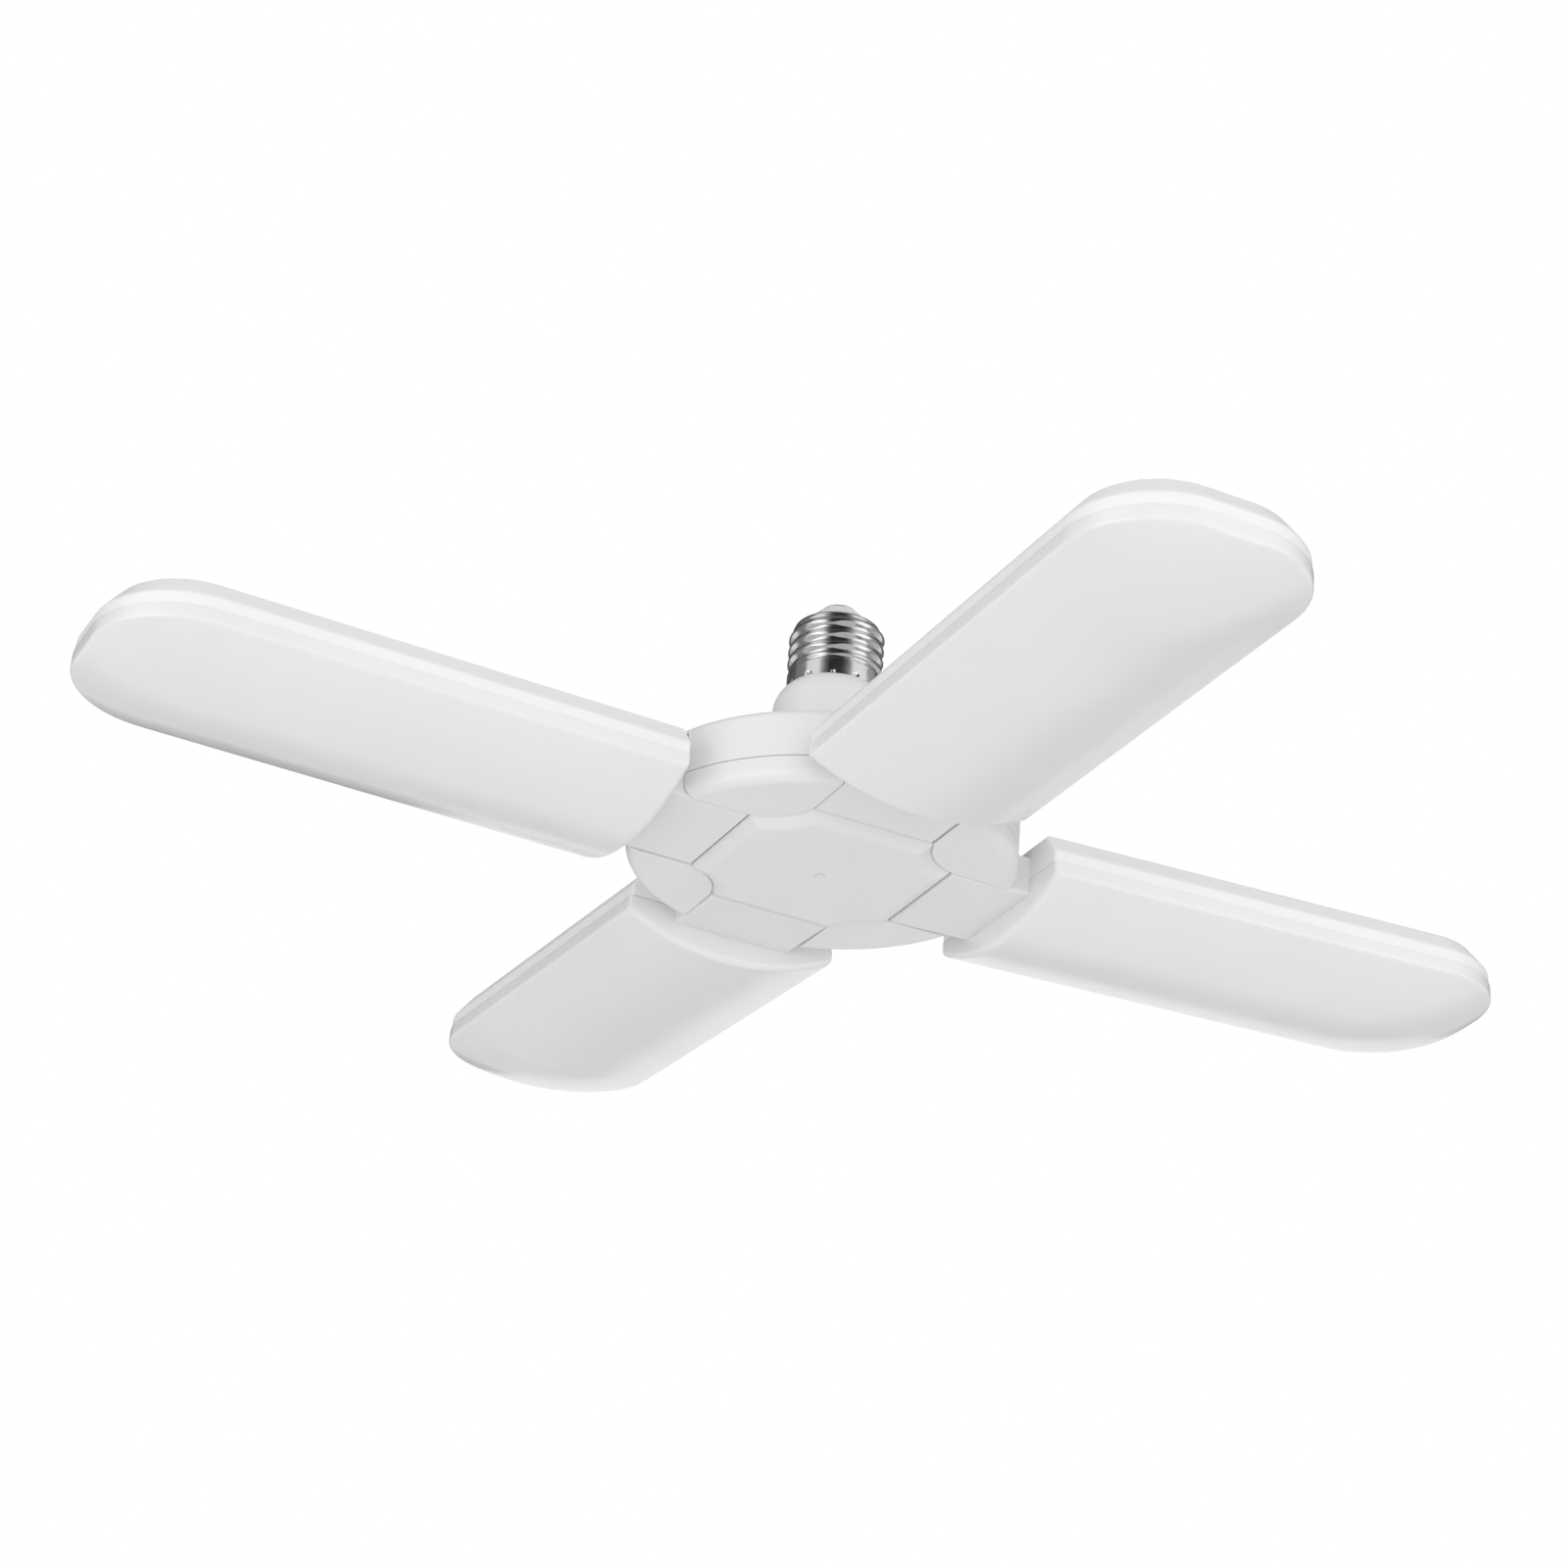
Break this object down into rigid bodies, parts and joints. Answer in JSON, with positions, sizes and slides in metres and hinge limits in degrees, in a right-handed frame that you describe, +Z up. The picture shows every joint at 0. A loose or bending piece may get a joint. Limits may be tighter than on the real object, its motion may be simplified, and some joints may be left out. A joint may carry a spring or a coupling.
{
  "type": "deformable garage light",
  "caption": "Ceiling light on an Edison screw base, with broad flat blades that fold down one by one from a round hub, each under a milky arched diffuser.",
  "frame": {"origin": "face of the centre contact, on the screw axis", "axes": "+Z up along the screw axis into the lamp holder, blades along +X, -X, +Y and -Y"},
  "size_m": [0.4138, 0.4137, 0.0875],
  "materials": {
    "white_cover": "moulded satin white",
    "milky_diffuser": "glossy milky white",
    "nickel_shell": "bright nickel plate",
    "base_insulator": "pale moulded insulator",
    "contact_metal": "tinned",
    "circuit_board": "solder-mask green",
    "capacitor_can": "sleeved can",
    "transformer": "taped winding on ferrite",
    "component_body": "moulded black",
    "fuse_body": "lacquered",
    "connector_body": "natural nylon",
    "wire_jacket": "insulated lead",
    "steel_hardware": "zinc-plated",
    "led_board": "white-masked aluminium",
    "led_phosphor": "phosphor under clear resin"
  },
  "bodies": {
    "hub": {"screw_shell": "nickel_shell", "base_insulator": "base_insulator", "centre_contact": "contact_metal", "hub_top_cover": "white_cover", "hub_bottom_cover": "white_cover", "centre_plate": "white_cover", "driver_board": "circuit_board", "filter_capacitors": "capacitor_can", "driver_transformer": "transformer", "bridge_rectifier": "component_body", "driver_chip": "component_body", "fuse_resistor": "fuse_body", "lead_connectors": "connector_body", "hub_feed_leads": "wire_jacket", "live_wire": "wire_jacket", "neutral_wire": "wire_jacket", "hinge_pins": "steel_hardware", "friction_washers": "steel_hardware", "hub_screws": "steel_hardware"},
    "right_blade": {"right_blade_back": "white_cover", "right_blade_diffuser": "milky_diffuser", "right_blade_hinge_arm": "white_cover", "right_blade_led_board": "led_board", "right_blade_leds": "led_phosphor", "right_blade_leads": "wire_jacket", "right_blade_arm_screws": "steel_hardware", "right_blade_board_screws": "steel_hardware"},
    "rear_blade": {"rear_blade_back": "white_cover", "rear_blade_diffuser": "milky_diffuser", "rear_blade_hinge_arm": "white_cover", "rear_blade_led_board": "led_board", "rear_blade_leds": "led_phosphor", "rear_blade_leads": "wire_jacket", "rear_blade_arm_screws": "steel_hardware", "rear_blade_board_screws": "steel_hardware"},
    "left_blade": {"left_blade_back": "white_cover", "left_blade_diffuser": "milky_diffuser", "left_blade_hinge_arm": "white_cover", "left_blade_led_board": "led_board", "left_blade_leds": "led_phosphor", "left_blade_leads": "wire_jacket", "left_blade_arm_screws": "steel_hardware", "left_blade_board_screws": "steel_hardware"},
    "front_blade": {"front_blade_back": "white_cover", "front_blade_diffuser": "milky_diffuser", "front_blade_hinge_arm": "white_cover", "front_blade_led_board": "led_board", "front_blade_leds": "led_phosphor", "front_blade_leads": "wire_jacket", "front_blade_arm_screws": "steel_hardware", "front_blade_board_screws": "steel_hardware"}
  },
  "joints": [
    {"name": "right_blade_fold", "type": "hinge", "parent": "hub", "child": "right_blade", "pos_m": [0.041, 0, -0.0729], "axis": [0, 1, 0], "range_deg": [-2.7, 92.3]},
    {"name": "rear_blade_fold", "type": "hinge", "parent": "hub", "child": "rear_blade", "pos_m": [0, 0.041, -0.0729], "axis": [-1, 0, 0], "range_deg": [-1.2, 93.8]},
    {"name": "left_blade_fold", "type": "hinge", "parent": "hub", "child": "left_blade", "pos_m": [-0.041, 0, -0.0729], "axis": [0, -1, 0], "range_deg": [-4.3, 90.7]},
    {"name": "front_blade_fold", "type": "hinge", "parent": "hub", "child": "front_blade", "pos_m": [0, -0.041, -0.0729], "axis": [1, 0, 0], "range_deg": [-5.4, 89.6]}
  ]
}
